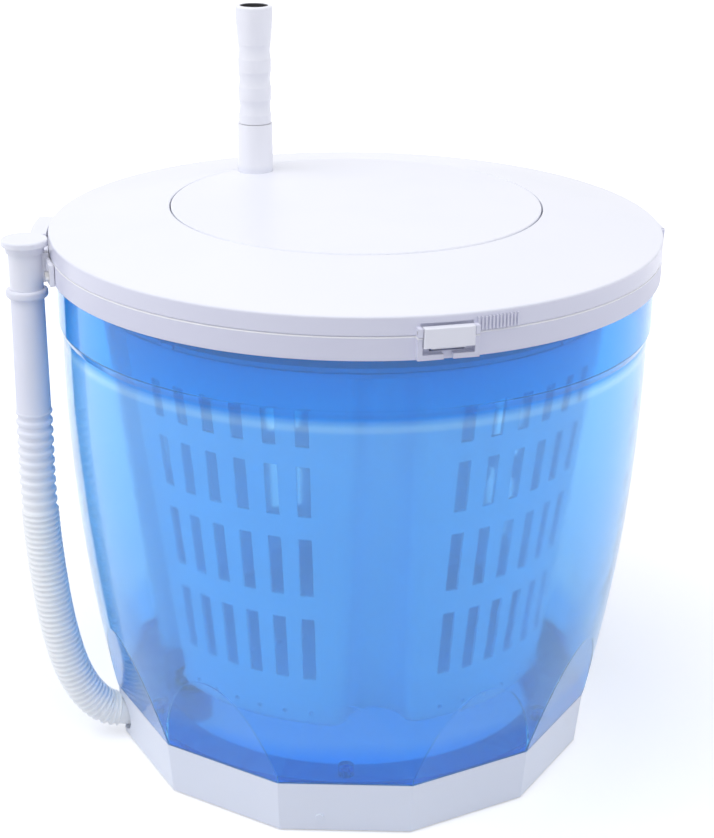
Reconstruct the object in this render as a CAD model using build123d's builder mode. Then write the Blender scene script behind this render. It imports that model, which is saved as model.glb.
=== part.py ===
from build123d import *
from math import acos, atan, atan2, cos, degrees, hypot, pi, radians, sin, tan
import os

os.makedirs("parts", exist_ok=True)

# A hand-cranked washing machine: a round tub on a twelve-sided base, with a perforated basket that
# a gear set in the lid turns. Sizes are in millimetres, heights are above the ground, and angles are
# in degrees round the machine from its front, -Y, towards +X.

# Clearances
body_gap = 0.3  # between pieces that move past each other
shaft_gap = 0.05  # radial, round a shaft that turns
held_gap = 0.02  # radial, round a pin, bush or screw that is held fast
screw_radius = 1.5
screw_head_radius = 3.0
screw_head_height = 2.2
screw_hole_spare = 1.0  # a screw's blind hole is this much deeper than the screw
cut_over = 1.0  # how far a cut runs past the surface that it opens

# Base
side_count = 12
base_clearance = 1.0
base_height = 32.6
base_bottom_radius = 146.1  # to the corners
base_top_radius = 149.3
base_wall = 3.0
shelf_depth = 2.6  # from the base's top edge down to the shelf that carries the tub
shelf_thickness = 2.5
shelf_radius = 120.0
base_flange_radius = 115.0
base_flange_thickness = 3.0
base_screw_ring = 132.0
foot_ring = 126.5
foot_radius = 11.0
foot_neck_radius = 8.0
foot_head_radius = 10.0
foot_head_height = 1.5
plug_angle = -5.9
plug_height = 10.0
plug_radius = 2.6
plug_shank_radius = 1.8
plug_head_height = 0.8
plug_length = 4.5

# Tub
tub_wall = 2.5
tub_floor = 3.0
tub_middle_radius = 167.2
tub_middle_height = 150.0
tub_shoulder_radius = 172.3
tub_shoulder_height = 268.0
tub_neck_radius = 174.2
tub_neck_rise = 4.5
tub_height = 311.3
facet_end_height = 120.0  # where the flat sides run out into the round wall
post_foot_radius = 30.0
post_top_radius = 15.0
post_height = 53.5
post_wall = 3.0
post_cap = 14.0  # solid top of the post, which holds the pivot pin
tub_boss_radius = 4.5
tub_boss_height = 6.0

# Rim ring on the tub
rim_wall = 3.0
rim_bottom = 300.9
rim_flange = 2.5
rim_edge_round = 0.6
rim_seam_bevel = 0.6
frame_rise = 0.9  # how far the latch frames start above the rim ring's lower edge
rim_inner_radius = 160.0
rim_lip_thickness = 2.0
rim_lip_gap = 0.5
rim_lip_depth = 7.3
groove_inner_radius = 163.0
groove_width = 5.0
groove_depth = 1.2
gasket_height = 2.2

# Lid shell
lid_radius = 177.5
lid_wall = 2.5
lid_height = 335.6  # at the edge of the crank disc's well
lid_shoulder_height = 324.1
lid_edge_round = 1.2
lid_inner_edge_round = 0.8
well_radius = 108.0
ledge_height = 326.0
ledge_thickness = 3.0
ledge_inner_radius = 98.0
housing_radius = 102.0
press_rib_thickness = 2.8
lip_rib_height = 322.0
lid_boss_radius = 4.0
outer_boss_ring = 147.0
inner_boss_ring = 111.0
lid_screw_depth = 12.0

# Inner shell, under the lid
plate_height = 303.0
plate_thickness = 2.5
inner_shell_radius = 158.5
hub_boss_radius = 13.0
hub_boss_bottom = 299.0
hub_bush_radius = 8.0

# Gears
gear_module = 2.0
pressure_angle = radians(20)
tooth_play = 0.15  # each tooth is this much thinner than half the pitch
ring_teeth = 72
planet_teeth = 24
sun_teeth = 24
addendum = 1.9
ring_addendum = 1.7
dedendum = 2.5
gear_bottom = 312.0
gear_width = 10.0
planet_count = 3
planet_pin_radius = 4.0
planet_boss_radius = 7.0
clip_radius = 6.5
clip_height = 0.8
ring_gear_rim = 5.5
ring_flange_width = 8.0
ring_flange_thickness = 3.0
ring_screw_inset = 4.0

# Crank disc, spindle and grip
disc_gap = 0.7
disc_thickness = 2.8
disc_edge_height = 335.8
disc_rise = 1.4
disc_edge_round = 0.8
disc_lip = 3.0
disc_boss_height = 4.0
disc_boss_radius = 4.0
disc_hub_radius = 10.0
disc_hub_depth = 9.0
hook_count = 6
hook_width = 10.0
hook_thickness = 3.7
hook_barb = 2.3
hook_barb_height = 2.7
handle_angle = 221.6
handle_ring = 96.0
post_radius = 10.8
handle_post_height = 366.0
spindle_radius = 4.0
spindle_nut_width = 11.0
spindle_nut_height = 4.0
grip_radius = 10.0
grip_head_radius = 11.1
grip_head_height = 9.0
grip_head_slope = 13.0  # height over which the grip widens to its head
grip_length = 70.6
grip_recess_radius = 8.3
grip_recess_depth = 30.0
grip_edge_round = 1.5
grip_inner_round = 0.6
groove_count = 3
first_groove_height = 9.8
groove_pitch = 16.8
grip_groove_height = 9.0
grip_groove_depth = 0.6
grip_washer_thickness = 1.0
grip_screw_radius = 2.0
grip_screw_head_radius = 5.0
grip_screw_head_height = 3.0
grip_screw_length = 10.0

# Drive shaft
shaft_radius = 5.0
shaft_flat = 4.0
shaft_top = 331.0
shaft_chamfer = 0.5

# Basket
basket_bottom_radius = 121.0
basket_bottom = 57.5
basket_top_radius = 150.0
basket_top = 285.0
basket_wall = 2.0
basket_floor = 2.5
basket_flange_radius = 152.0
basket_flange_thickness = 2.5
flute_angle = 8.0
flute_count = 5
flute_radius = 16.0
flute_bottom_depth = 20.0
flute_top_depth = 12.0
flute_edge_round = 9.0
basket_foot_round = 4.0
slot_width = 7.5
slot_rows = ((90.0, 131.0), (146.0, 183.0), (197.0, 228.0), (240.0, 262.0))
slot_columns = 6
slot_pitch = 7.3
basket_hole_radius = 1.5
basket_hole_height = 66.0
floor_hole_radius = 2.5
floor_hole_rings = ((34.0, 12), (52.0, 18), (70.0, 24))
basket_hub_radius = 17.0
basket_hub_height = 22.0
basket_hub_drop = 2.0
pin_end_room = 4.0
basket_hub_cap = 2.5
bush_radius = 9.0
bush_flange_radius = 13.0
bush_flange_thickness = 1.7
pivot_pin_radius = 5.0
pivot_pin_depth = 10.0
pivot_pin_length = 32.0

# Basket cover, which the drive shaft carries and turns
cover_thickness = 2.5
cover_radius = 151.0
cover_hub_radius = 12.0
cover_slot_count = 12
cover_slot_width = 8.0
cover_slot_inner = 50.0
cover_slot_outer = 130.0
cover_rib_count = 12
cover_rib_thickness = 2.0
cover_rib_height = 4.0
cover_screw_radius = 2.0
cover_screw_length = 12.0
cover_screw_head_radius = 6.5
cover_screw_head_height = 2.7
lug_count = 4
lug_angle = 50.0
lug_width = 8.0
lug_height = 2.3
lug_inner = 148.2
lug_outer = 151.6
lug_gap = 1.2  # room round each lug, so that the cover can swing away with the lid

# Latches, front and side
latch_angles = {"front_latch": 16.0, "side_latch": 99.0}
flap_width = 26.5
flap_thickness = 4.4
flap_bottom = 308.4
flap_top = 318.8
flap_edge_round = 0.5
flap_inner = 178.2
latch_pivot_radius = 179.6
latch_pivot_height = 316.3
latch_barrel_radius = 2.2
latch_pin_radius = 1.0
latch_side_gap = 0.4
ear_width = 2.5
ear_reach = 181.6
ear_root_depth = 1.65  # how deep the ears stand in the lid's skirt
frame_reach = 180.8
frame_top = 313.7
frame_bar = 3.6
frame_notch = 5.0
window_bottom = 305.5
window_top = 310.3
nose_width = 18.0
nose_reach = 176.4
nose_bottom = 307.3
nose_slope = 1.0
pocket_depth = 1.2
pocket_top = 320.0
thumb_rib_count = 12
thumb_rib_pitch = 0.65
thumb_rib_offset = 5.3
thumb_rib_width = 1.0
thumb_rib_height = 7.0
thumb_rib_bottom = 314.5
thumb_rib_proud = 1.2

# Lid hinge, at the back
hinge_angle = 226.0
hinge_reach = 183.0
hinge_height = 316.0
hinge_barrel_radius = 4.5
hinge_pin_radius = 1.5
hinge_middle_width = 20.0
hinge_side_width = 12.0
hinge_side_gap = 0.4
hinge_pin_overhang = 1.0
knuckle_root_depth = 2.2

# Drain and hose
hose_angle = -75.0
drain_ring = 100.0
drain_neck_radius = 7.9
drain_bore_radius = 5.7
drain_flange_radius = 14.0
drain_flange_thickness = 2.2
drain_seal_thickness = 1.3
drain_body_radius = 10.0
drain_nut_width = 24.0
drain_nut_height = 4.0
drain_neck_end = 0.5
nipple_radius = 7.7
nipple_end = 141.0
hose_overlap = 17.0
clamp_width = 7.0
clamp_thickness = 1.0
clamp_lug = 5.0
clamp_lug_reach = 3.0
clamp_ring = 132.0
hose_height = 16.2  # of the axis where the hose enters the base
hose_reach = 191.3  # of the axis beside the rim
hose_bore_radius = 8.0
hose_plain_radius = 9.6
plain_end_steps = 8  # sections along the hose's plain lower end
hose_cuff_radius = 10.1
hose_cuff_length = 69.0
coarse_rib_count = 10
coarse_rib_pitch = 6.3
coarse_rib_crest = 10.7
fine_rib_count = 44
fine_rib_pitch = 3.5
fine_rib_crest = 11.1
rib_depth = 1.3
rib_shape = ((0.15, 1), (0.35, 0), (0.7, 0), (0.9, 1))  # shares of the pitch and of the depth
hose_hole_radius = 12.1
bead_radius = 12.0
bead_height = 5.0
bead_bottom = 291.0
spigot_radius = 7.8
spigot_bore_radius = 6.3
spigot_length = 16.0
bracket_radius = 9.6
bracket_top = 321.0
bracket_pad_thickness = 2.5
bracket_pad_bottom = 301.3
bracket_pad_start = -94.0
bracket_pad_end = -69.0
bracket_web = 5.0
bracket_web_top = 316.5
bracket_plate_end = -82.0
bracket_plate_reach = 188.0
bracket_plate_bottom = 317.0
bracket_plate_thickness = 3.7
bracket_screw_offset = 4.5
lid_swing_gap = 1.2  # room for the lid as it swings up
cap_radius = 13.1
cap_thickness = 3.7
cap_collar_radius = 10.9
cap_collar_depth = 4.0
cap_plug_radius = 7.7
cap_plug_depth = 8.0

# Worked out from these
half_side = 180 / side_count
corner_to_flat = cos(radians(half_side))
base_top = base_clearance + base_height
shelf_top = base_top - shelf_depth
floor_top = shelf_top + tub_floor
rim_top = tub_height + rim_flange
lid_bottom = rim_top + body_gap
plate_top = plate_height + plate_thickness
disc_underside = disc_edge_height - disc_thickness
disc_radius = well_radius - disc_gap
pin_hole = screw_radius + held_gap
six_ways = [60 * step for step in range(6)]
six_between = [60 * step + 30 for step in range(6)]


def around(angle, radius, height=0.0):
    turn = radians(angle)
    return (radius * sin(turn), -radius * cos(turn), height)


def outward_plane(angle, radius, height):
    # X runs along the rim, Y up and Z out of the machine
    turn = radians(angle)
    along_rim = (cos(turn), sin(turn), 0)
    return Plane(around(angle, radius, height), x_dir=along_rim, z_dir=(sin(turn), -cos(turn), 0))


def radial_plane(angle):
    # X runs out of the machine and Y up
    turn = radians(angle)
    return Plane((0, 0, 0), x_dir=(sin(turn), -cos(turn), 0), z_dir=(-cos(turn), -sin(turn), 0))


def band(inner, outer, low, high, mode=Mode.ADD):
    # A ring about the machine's axis, or a disc where inner is 0
    with BuildSketch(Plane.XY.offset(low)) as outline:
        Circle(outer)
        if inner:
            Circle(inner, mode=Mode.SUBTRACT)
    extrude(outline.sketch, amount=high - low, mode=mode)


def sector(inner, outer, start, end, low, high, mode=Mode.ADD):
    # The part of such a ring between two angles
    far = 2 * outer
    with BuildSketch(Plane.XY.offset(low)) as outline:
        Circle(outer)
        Circle(inner, mode=Mode.SUBTRACT)
        with BuildLine():
            Polyline((0, 0), around(start, far)[:2], around(end, far)[:2], close=True)
        make_face(mode=Mode.INTERSECT)
    extrude(outline.sketch, amount=high - low, mode=mode)


def posts(angles, ring, radius, low, high, mode=Mode.ADD):
    # Upright round bars, or holes, at one distance from the axis
    with BuildSketch(*[Plane(around(angle, ring, low)) for angle in angles]) as outline:
        Circle(radius)
    extrude(outline.sketch, amount=high - low, mode=mode)


def spokes(angles, height, radius, start, end, mode=Mode.ADD):
    # Level round bars, or holes, that point out of the machine
    with BuildSketch(*[outward_plane(angle, start, height) for angle in angles]) as outline:
        Circle(radius)
    extrude(outline.sketch, amount=end - start, mode=mode)


def facets(low, low_radius, high, high_radius, mode=Mode.ADD):
    # The base's many-sided outline, from one height to another, to its corners
    with BuildSketch(Plane.XY.offset(low)) as lower:
        RegularPolygon(low_radius, side_count, rotation=half_side)
    with BuildSketch(Plane.XY.offset(high)) as upper:
        RegularPolygon(high_radius, side_count, rotation=half_side)
    loft([lower.sketch.face(), upper.sketch.face()], ruled=True, mode=mode)


def across(angle, corners, width, mode=Mode.ADD, shift=0.0):
    # A plate of this outline, in distance from the axis and height, as wide as stated along the rim
    with BuildSketch(radial_plane(angle).offset(shift)) as outline:
        with BuildLine():
            Polyline(*corners, close=True)
        make_face()
    extrude(outline.sketch, amount=width / 2, both=True, mode=mode)


def barrel(angle, reach, height, radius, width, mode=Mode.ADD, shift=0.0):
    # A round bar along the rim
    with BuildSketch(radial_plane(angle).offset(shift)) as outline:
        with Locations((reach, height)):
            Circle(radius)
    extrude(outline.sketch, amount=width / 2, both=True, mode=mode)


def save(piece, name):
    piece.part.label = name
    export_step(piece.part, f"parts/{name}.step")


def base_corner(height):
    share = (height - base_clearance) / base_height
    return base_bottom_radius + (base_top_radius - base_bottom_radius) * share


def base_inner_corner(height):
    return base_corner(height) - base_wall / corner_to_flat


def deck_top(radius):
    # The lid falls evenly from the disc's well to its outer edge
    share = (radius - well_radius) / (lid_radius - well_radius)
    return lid_height + (lid_shoulder_height - lid_height) * share


# Base ring
shelf_bottom = shelf_top - shelf_thickness
flange_top = base_clearance + base_flange_thickness
base_flat_tilt = degrees(atan((base_top_radius - base_bottom_radius) * corner_to_flat / base_height))
plug_reach = base_corner(plug_height) * corner_to_flat
plug_side = plug_reach * tan(radians(plug_angle))
plug_plane = Plane(
    (plug_side, -plug_reach, plug_height),
    x_dir=(1, 0, 0),
    z_dir=(0, -cos(radians(base_flat_tilt)), -sin(radians(base_flat_tilt))),
)

with BuildPart() as base_ring:
    facets(base_clearance, base_bottom_radius, base_top, base_top_radius)
    facets(
        flange_top,
        base_inner_corner(flange_top),
        shelf_bottom,
        base_inner_corner(shelf_bottom),
        Mode.SUBTRACT,
    )
    facets(shelf_top, base_inner_corner(shelf_top), base_top, base_inner_corner(base_top), Mode.SUBTRACT)
    band(0, base_flange_radius, base_clearance, flange_top, Mode.SUBTRACT)
    band(0, shelf_radius, shelf_bottom, shelf_top, Mode.SUBTRACT)
    posts(six_ways, base_screw_ring, screw_radius + body_gap, shelf_bottom, shelf_top, Mode.SUBTRACT)
    posts(six_between, foot_ring, foot_neck_radius + body_gap, base_clearance, flange_top, Mode.SUBTRACT)
    hole_end = base_top_radius + cut_over
    spokes([hose_angle], hose_height, hose_hole_radius, base_flange_radius, hole_end, Mode.SUBTRACT)
    with BuildSketch(plug_plane):
        Circle(plug_shank_radius + held_gap)
    extrude(amount=2 * base_wall, both=True, mode=Mode.SUBTRACT)
save(base_ring, "base_ring")

with BuildPart() as rubber_feet:
    posts(six_between, foot_ring, foot_radius, 0, base_clearance)
    posts(six_between, foot_ring, foot_neck_radius, base_clearance, flange_top)
    posts(six_between, foot_ring, foot_head_radius, flange_top, flange_top + foot_head_height)
save(rubber_feet, "rubber_feet")

base_screw_top = floor_top + tub_boss_height / 2
with BuildPart() as base_screws:
    posts(six_ways, base_screw_ring, screw_head_radius, shelf_bottom - screw_head_height, shelf_bottom)
    posts(six_ways, base_screw_ring, screw_radius, shelf_bottom, base_screw_top)
save(base_screws, "base_screws")

with BuildPart() as base_plug:
    with BuildSketch(plug_plane):
        Circle(plug_radius)
    extrude(amount=plug_head_height)
    fillet(base_plug.edges().sort_by(Axis.Y)[0], plug_head_height / 2)
    with BuildSketch(plug_plane):
        Circle(plug_shank_radius)
    extrude(amount=-plug_length)
save(base_plug, "base_plug")

# Tub
tub_spigot_radius = base_top_radius * corner_to_flat - base_wall - 2 * body_gap
facet_rise = tub_middle_radius / corner_to_flat - base_top_radius
facet_top_radius = base_top_radius + facet_rise * (tub_height - base_top) / (facet_end_height - base_top)
# The round wall starts just outside the base's corners, so that the corners run up into it
tub_start_radius = base_top_radius + body_gap

with BuildPart() as tub_space:
    with BuildSketch(Plane.XZ):
        with BuildLine():
            inner_wall = ThreePointArc(
                (tub_start_radius - tub_wall, floor_top),
                (tub_middle_radius - tub_wall, tub_middle_height),
                (tub_shoulder_radius - tub_wall, tub_shoulder_height),
            )
            Polyline(
                inner_wall @ 1,
                (tub_neck_radius - tub_wall, tub_shoulder_height + tub_neck_rise),
                (tub_neck_radius - tub_wall, tub_height),
                (0, tub_height),
                (0, floor_top),
                inner_wall @ 0,
            )
        make_face()
    revolve(axis=Axis.Z)
    facets(
        base_top,
        base_top_radius - tub_wall / corner_to_flat,
        tub_height,
        facet_top_radius - tub_wall / corner_to_flat,
        Mode.INTERSECT,
    )

with BuildPart() as outer_tub:
    with BuildSketch(Plane.XZ):
        with BuildLine():
            outer_wall = ThreePointArc(
                (tub_start_radius, base_top),
                (tub_middle_radius, tub_middle_height),
                (tub_shoulder_radius, tub_shoulder_height),
            )
            Polyline(
                outer_wall @ 1,
                (tub_neck_radius, tub_shoulder_height + tub_neck_rise),
                (tub_neck_radius, tub_height),
                (0, tub_height),
                (0, base_top),
                outer_wall @ 0,
            )
        make_face()
    revolve(axis=Axis.Z)
    facets(base_top, base_top_radius, tub_height, facet_top_radius, Mode.INTERSECT)
    add(tub_space.part, mode=Mode.SUBTRACT)
    band(0, tub_spigot_radius, shelf_top, floor_top)
    with BuildSketch(Plane.XZ):
        with BuildLine():
            Polyline(
                (0, shelf_top),
                (post_foot_radius, shelf_top),
                (post_foot_radius, floor_top),
                (post_top_radius, post_height),
                (0, post_height),
                close=True,
            )
        make_face()
    revolve(axis=Axis.Z)
    with BuildSketch(Plane.XZ):
        with BuildLine():
            Polyline(
                (0, shelf_top),
                (post_foot_radius - post_wall, shelf_top),
                (post_top_radius - post_wall, post_height - post_cap),
                (0, post_height - post_cap),
                close=True,
            )
        make_face()
    revolve(axis=Axis.Z, mode=Mode.SUBTRACT)
    band(0, pivot_pin_radius + held_gap, post_height - pivot_pin_depth, post_height, Mode.SUBTRACT)
    posts(six_ways, base_screw_ring, tub_boss_radius, floor_top - tub_floor / 2, floor_top + tub_boss_height)
    posts(six_ways, base_screw_ring, pin_hole, shelf_top, base_screw_top + screw_hole_spare, Mode.SUBTRACT)
    posts([hose_angle], drain_ring, drain_neck_radius + body_gap, shelf_top, floor_top, Mode.SUBTRACT)
save(outer_tub, "outer_tub")

with BuildPart() as pivot_pin:
    band(0, pivot_pin_radius, post_height - pivot_pin_depth, post_height - pivot_pin_depth + pivot_pin_length)
    chamfer(pivot_pin.edges().sort_by(Axis.Z)[-1], shaft_chamfer)
save(pivot_pin, "pivot_pin")

# Rim ring
rim_radius = lid_radius
rim_lip_radius = tub_neck_radius - tub_wall - rim_lip_gap
frame_width = flap_width + 2 * (latch_side_gap + ear_width)
hinge_arm = rim_radius - rim_wall / 2
hinge_arm_bottom = rim_bottom + 2 * rim_edge_round
bracket_screw_height = (bracket_pad_bottom + tub_height) / 2
bracket_screw_angles = [hose_angle + bracket_screw_offset, hose_angle - bracket_screw_offset]

with BuildPart() as tub_rim:
    band(rim_radius - rim_wall, rim_radius, rim_bottom, tub_height)
    band(rim_inner_radius, rim_radius, tub_height, rim_top)
    band(rim_lip_radius - rim_lip_thickness, rim_lip_radius, tub_height - rim_lip_depth, tub_height)
    groove_outer_radius = groove_inner_radius + groove_width
    band(groove_inner_radius, groove_outer_radius, rim_top - groove_depth, rim_top, Mode.SUBTRACT)
    rim_edge = tub_rim.edges().filter_by(GeomType.CIRCLE).group_by(Axis.Z)[0].sort_by(SortBy.LENGTH)[-1]
    fillet(rim_edge, rim_edge_round)
    seam_edge = tub_rim.edges().filter_by(GeomType.CIRCLE).group_by(Axis.Z)[-1].sort_by(SortBy.LENGTH)[-1]
    chamfer(seam_edge, rim_seam_bevel)
    for angle in latch_angles.values():
        frame_box = (
            (rim_radius - rim_wall / 2, rim_bottom + frame_rise),
            (frame_reach, rim_bottom + frame_rise),
            (frame_reach, frame_top),
            (rim_radius - rim_wall / 2, frame_top),
        )
        across(angle, frame_box, frame_width)
        flap_space = (
            (rim_radius, rim_bottom + frame_bar),
            (frame_reach + cut_over, rim_bottom + frame_bar),
            (frame_reach + cut_over, frame_top + cut_over),
            (rim_radius, frame_top + cut_over),
        )
        across(angle, flap_space, flap_width + 2 * latch_side_gap, Mode.SUBTRACT)
        notch = (
            (rim_radius, rim_bottom),
            (frame_reach + cut_over, rim_bottom),
            (frame_reach + cut_over, window_bottom),
            (rim_radius, window_bottom),
        )
        across(angle, notch, frame_notch, Mode.SUBTRACT)
        window = (
            (rim_radius - rim_wall - cut_over, window_bottom),
            (frame_reach, window_bottom),
            (frame_reach, window_top),
            (rim_radius - rim_wall - cut_over, window_top),
        )
        across(angle, window, nose_width + 2 * latch_side_gap, Mode.SUBTRACT)
    hinge_arm_outline = (
        (hinge_arm, hinge_arm_bottom),
        (rim_radius + rim_wall, hinge_arm_bottom),
        (hinge_reach + hinge_barrel_radius, hinge_height - hinge_barrel_radius),
        (hinge_reach + hinge_barrel_radius, hinge_height),
        (hinge_reach, hinge_height),
        (hinge_reach - hinge_barrel_radius, rim_top),
        (hinge_arm, rim_top),
    )
    across(hinge_angle, hinge_arm_outline, hinge_middle_width)
    barrel(hinge_angle, hinge_reach, hinge_height, hinge_barrel_radius, hinge_middle_width)
    hinge_hole = hinge_pin_radius + held_gap
    barrel(hinge_angle, hinge_reach, hinge_height, hinge_hole, 2 * hinge_middle_width, Mode.SUBTRACT)
    hole_start = rim_radius - 2 * rim_wall
    hole_end = rim_radius + cut_over
    spokes(bracket_screw_angles, bracket_screw_height, pin_hole, hole_start, hole_end, Mode.SUBTRACT)
save(tub_rim, "tub_rim")

gasket_bottom = rim_top - groove_depth
with BuildPart() as lid_gasket:
    gasket_inner = groove_inner_radius + body_gap
    gasket_outer = groove_inner_radius + groove_width - body_gap
    band(gasket_inner, gasket_outer, gasket_bottom, gasket_bottom + gasket_height)
    fillet(lid_gasket.edges().group_by(Axis.Z)[-1], gasket_height / 3)
save(lid_gasket, "lid_gasket")

hinge_length = hinge_middle_width + 2 * (hinge_side_gap + hinge_side_width)
with BuildPart() as hinge_pin:
    barrel(hinge_angle, hinge_reach, hinge_height, hinge_pin_radius, hinge_length + 2 * hinge_pin_overhang)
save(hinge_pin, "hinge_pin")

# Lid shell
press_rib_middle = groove_inner_radius + groove_width / 2
press_rib_inner = press_rib_middle - press_rib_thickness / 2
press_rib_outer = press_rib_middle + press_rib_thickness / 2
press_rib_bottom = gasket_bottom + gasket_height + body_gap
ledge_bottom = ledge_height - ledge_thickness
well_outer = well_radius + lid_wall
hinge_side_shift = hinge_middle_width / 2 + hinge_side_gap + hinge_side_width / 2
ear_shift = flap_width / 2 + latch_side_gap + ear_width / 2

with BuildPart() as lid_shell:
    with BuildSketch(Plane.XZ) as lid_section:
        with BuildLine():
            Polyline(
                (lid_radius, lid_bottom),
                (lid_radius, lid_shoulder_height),
                (well_radius, lid_height),
                (well_radius, ledge_height),
                (ledge_inner_radius, ledge_height),
                (ledge_inner_radius, ledge_bottom),
                (well_outer, ledge_bottom),
                (well_outer, deck_top(well_outer) - lid_wall),
                (lid_radius - lid_wall, deck_top(lid_radius - lid_wall) - lid_wall),
                (lid_radius - lid_wall, lid_bottom),
                close=True,
            )
        make_face()
        fillet(lid_section.vertices().group_by(Axis.X)[-1].sort_by(Axis.Y)[-1], lid_edge_round)
        fillet(lid_section.vertices().sort_by(Axis.Y)[-1], lid_inner_edge_round)
    revolve(axis=Axis.Z)
    band(housing_radius, housing_radius + lid_wall, plate_top, ledge_bottom + ledge_thickness / 2)
    band(press_rib_inner, press_rib_outer, press_rib_bottom, deck_top(press_rib_outer) - lid_wall / 2)
    band(
        inner_shell_radius - lid_wall,
        inner_shell_radius,
        lip_rib_height,
        deck_top(inner_shell_radius) - lid_wall / 2,
    )
    outer_boss_top = deck_top(outer_boss_ring + lid_boss_radius) - lid_wall / 2
    posts(six_ways, outer_boss_ring, lid_boss_radius, plate_top, outer_boss_top)
    posts(six_between, inner_boss_ring, lid_boss_radius, plate_top, ledge_bottom + ledge_thickness / 2)
    posts(six_ways, outer_boss_ring, pin_hole, plate_top, plate_top + lid_screw_depth, Mode.SUBTRACT)
    posts(six_between, inner_boss_ring, pin_hole, plate_top, plate_top + lid_screw_depth, Mode.SUBTRACT)
    for angle in latch_angles.values():
        ear = (
            (lid_radius - ear_root_depth, lid_bottom),
            (ear_reach, lid_bottom),
            (ear_reach, latch_pivot_height + latch_barrel_radius),
            (lid_radius - ear_root_depth, latch_pivot_height + latch_barrel_radius),
        )
        for side in (-1, 1):
            across(angle, ear, ear_width, shift=side * ear_shift)
        pocket = (
            (lid_radius - pocket_depth, lid_bottom),
            (ear_reach, lid_bottom),
            (ear_reach, pocket_top),
            (lid_radius - pocket_depth, pocket_top),
        )
        across(angle, pocket, flap_width + 2 * latch_side_gap, Mode.SUBTRACT)
        pin_space = latch_pin_radius + held_gap
        barrel(angle, latch_pivot_radius, latch_pivot_height, pin_space, 2 * flap_width, Mode.SUBTRACT)
        rib_angles = [angle + thumb_rib_offset + thumb_rib_pitch * step for step in range(thumb_rib_count)]
        rib_middle = thumb_rib_bottom + thumb_rib_height / 2
        with BuildSketch(*[outward_plane(rib, lid_radius - lid_wall / 2, rib_middle) for rib in rib_angles]):
            Rectangle(thumb_rib_width, thumb_rib_height)
        extrude(amount=lid_wall / 2 + thumb_rib_proud)
    knuckle = (
        (lid_radius - knuckle_root_depth, lid_bottom),
        (hinge_reach, hinge_height - hinge_barrel_radius / 2),
        (hinge_reach, hinge_height + hinge_barrel_radius),
        (lid_radius - knuckle_root_depth, hinge_height + hinge_barrel_radius),
    )
    for side in (-1, 1):
        shift = side * hinge_side_shift
        across(hinge_angle, knuckle, hinge_side_width, shift=shift)
        barrel(hinge_angle, hinge_reach, hinge_height, hinge_barrel_radius, hinge_side_width, shift=shift)
    hinge_bore = hinge_pin_radius + shaft_gap
    barrel(hinge_angle, hinge_reach, hinge_height, hinge_bore, 2 * hinge_length, Mode.SUBTRACT)
save(lid_shell, "lid_shell")

with BuildPart() as latch_pins:
    for angle in latch_angles.values():
        barrel(angle, latch_pivot_radius, latch_pivot_height, latch_pin_radius, frame_width)
save(latch_pins, "latch_pins")

for name, angle in latch_angles.items():
    with BuildPart() as latch:
        flap = (
            (flap_inner, flap_bottom),
            (flap_inner + flap_thickness, flap_bottom),
            (flap_inner + flap_thickness, flap_top),
            (flap_inner, flap_top),
        )
        across(angle, flap, flap_width)
        out = Vector(*around(angle, 1))
        front_edges = latch.edges().group_by(lambda edge: round(edge.center().dot(out), 3))[-1]
        fillet(front_edges, flap_edge_round)
        barrel(angle, latch_pivot_radius, latch_pivot_height, latch_barrel_radius, flap_width)
        nose = (
            (nose_reach, nose_bottom + nose_slope),
            (flap_inner + flap_thickness / 2, nose_bottom),
            (flap_inner + flap_thickness / 2, window_top - body_gap),
            (nose_reach, window_top - body_gap),
        )
        across(angle, nose, nose_width)
        latch_bore = latch_pin_radius + shaft_gap
        barrel(angle, latch_pivot_radius, latch_pivot_height, latch_bore, 2 * flap_width, Mode.SUBTRACT)
    save(latch, name)

# Inner shell, which closes the gear housing from below
gear_top = gear_bottom + gear_width
planet_ring = gear_module * (ring_teeth - planet_teeth) / 2
planet_angles = [90 + 360 * step / planet_count for step in range(planet_count)]
hub_boss_top = gear_bottom - body_gap
planet_boss_top = gear_bottom - body_gap
clip_bottom = gear_top + body_gap

with BuildPart() as inner_shell:
    band(0, inner_shell_radius, plate_height, plate_top)
    band(inner_shell_radius - lid_wall, inner_shell_radius, plate_height, lip_rib_height)
    band(0, hub_boss_radius, hub_boss_bottom, hub_boss_top)
    posts(planet_angles, planet_ring, planet_boss_radius, plate_top, planet_boss_top)
    planet_hole = planet_pin_radius + held_gap
    posts(planet_angles, planet_ring, planet_hole, plate_height, planet_boss_top, Mode.SUBTRACT)
    band(0, hub_bush_radius + held_gap, hub_boss_bottom, hub_boss_top, Mode.SUBTRACT)
    posts(six_ways, outer_boss_ring, screw_radius + body_gap, plate_height, plate_top, Mode.SUBTRACT)
    posts(six_between, inner_boss_ring, screw_radius + body_gap, plate_height, plate_top, Mode.SUBTRACT)
save(inner_shell, "inner_shell")

with BuildPart() as inner_shell_screws:
    for angles, ring in ((six_ways, outer_boss_ring), (six_between, inner_boss_ring)):
        posts(angles, ring, screw_head_radius, plate_height - screw_head_height, plate_height)
        posts(angles, ring, screw_radius, plate_height, plate_top + lid_screw_depth - screw_hole_spare)
save(inner_shell_screws, "inner_shell_screws")

with BuildPart() as hub_bush:
    band(shaft_radius + shaft_gap, hub_bush_radius, hub_boss_bottom, hub_boss_top)
save(hub_bush, "hub_bush")

with BuildPart() as planet_pins:
    posts(planet_angles, planet_ring, planet_pin_radius, plate_height, clip_bottom + 2 * clip_height)
save(planet_pins, "planet_pins")

with BuildPart() as planet_clips:
    posts(planet_angles, planet_ring, clip_radius, clip_bottom, clip_bottom + clip_height)
    pin_hole_radius = planet_pin_radius + held_gap
    posts(planet_angles, planet_ring, pin_hole_radius, clip_bottom, clip_bottom + clip_height, Mode.SUBTRACT)
save(planet_clips, "planet_clips")


def involute(angle):
    return tan(angle) - angle


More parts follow.
